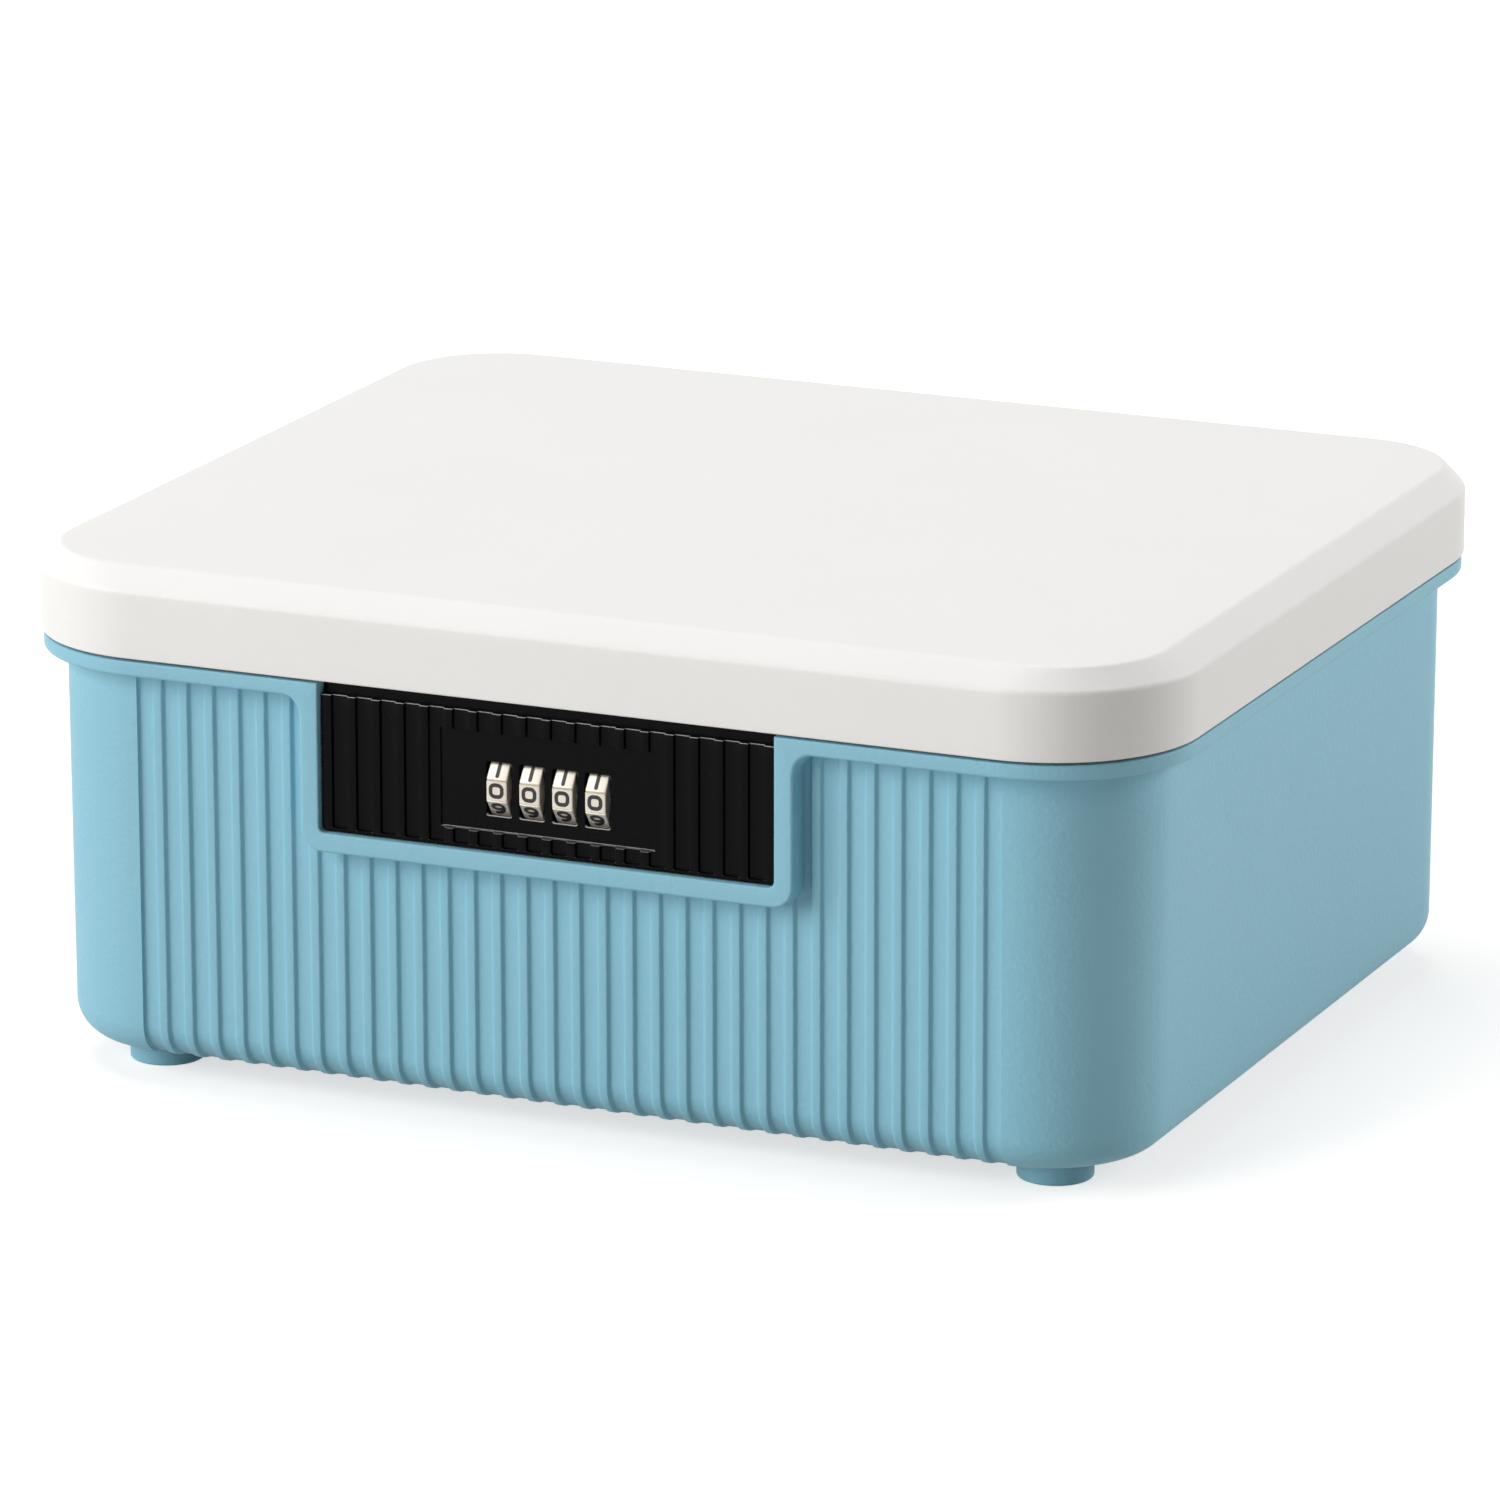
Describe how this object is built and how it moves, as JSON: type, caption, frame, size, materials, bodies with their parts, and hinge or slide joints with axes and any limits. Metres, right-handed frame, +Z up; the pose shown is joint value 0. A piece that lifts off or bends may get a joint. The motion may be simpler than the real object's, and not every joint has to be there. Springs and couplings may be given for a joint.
{
  "type": "medication lock box",
  "caption": "Lockable medication box: fluted plastic tub, bevelled hinged lid, number dials in a dark ribbed lock plate at the front, and round feet.",
  "frame": {"origin": "centre of the standing footprint of the whole box, on the floor under the feet", "axes": "+X to the right as seen from the front, +Y to the rear hinges, +Z up"},
  "size_m": [0.3, 0.2634, 0.1321],
  "materials": {
    "tub_blue": "satin moulded polypropylene, fine spark-eroded grain",
    "lid_white": "satin moulded ABS, fine leather-like grain on the top",
    "liner_white": "plain moulded ABS",
    "lock_black": "satin moulded ABS",
    "seal_black": "soft extruded rubber",
    "dial_nickel": "satin nickel plate with black digits",
    "hardware_steel": "zinc-plated steel"
  },
  "bodies": {
    "box": {"base_tub": "tub_blue", "foot_front_left": "tub_blue", "foot_front_right": "tub_blue", "foot_rear_left": "tub_blue", "foot_rear_right": "tub_blue", "rim_seal": "seal_black", "lock_faceplate": "lock_black", "lock_case": "lock_black", "dial_spindle": "hardware_steel", "spindle_clip_left": "hardware_steel", "spindle_clip_right": "hardware_steel", "detent_spring": "hardware_steel", "spring_screw_1": "hardware_steel", "spring_screw_2": "hardware_steel", "lock_screw_1": "hardware_steel", "lock_screw_2": "hardware_steel", "lock_screw_3": "hardware_steel", "lock_screw_4": "hardware_steel", "hinge_pin_left": "hardware_steel", "hinge_pin_right": "hardware_steel"},
    "lid": {"lid_shell": "lid_white", "lid_liner": "liner_white", "liner_screw_1": "hardware_steel", "liner_screw_2": "hardware_steel", "liner_screw_3": "hardware_steel", "liner_screw_4": "hardware_steel", "strike_comb": "hardware_steel", "comb_screw_1": "hardware_steel", "comb_screw_2": "hardware_steel"},
    "dial_unit_1": {"dial_1": "dial_nickel", "code_sleeve_1": "hardware_steel"},
    "dial_unit_2": {"dial_2": "dial_nickel", "code_sleeve_2": "hardware_steel"},
    "dial_unit_3": {"dial_3": "dial_nickel", "code_sleeve_3": "hardware_steel"},
    "dial_unit_4": {"dial_4": "dial_nickel", "code_sleeve_4": "hardware_steel"}
  },
  "joints": [
    {"name": "lid_hinge", "type": "hinge", "parent": "box", "child": "lid", "pos_m": [0, 0.1273, 0.1088], "axis": [-1, 0, 0], "range_deg": [0, 105]},
    {"name": "dial_turn_1", "type": "hinge", "parent": "box", "child": "dial_unit_1", "pos_m": [-0.0149, -0.1218, 0.0867], "axis": [1, 0, 0], "continuous": true},
    {"name": "dial_turn_2", "type": "hinge", "parent": "box", "child": "dial_unit_2", "pos_m": [-0.0063, -0.1218, 0.0867], "axis": [1, 0, 0], "continuous": true},
    {"name": "dial_turn_3", "type": "hinge", "parent": "box", "child": "dial_unit_3", "pos_m": [0.0023, -0.1218, 0.0867], "axis": [1, 0, 0], "continuous": true},
    {"name": "dial_turn_4", "type": "hinge", "parent": "box", "child": "dial_unit_4", "pos_m": [0.0109, -0.1218, 0.0867], "axis": [1, 0, 0], "continuous": true}
  ]
}
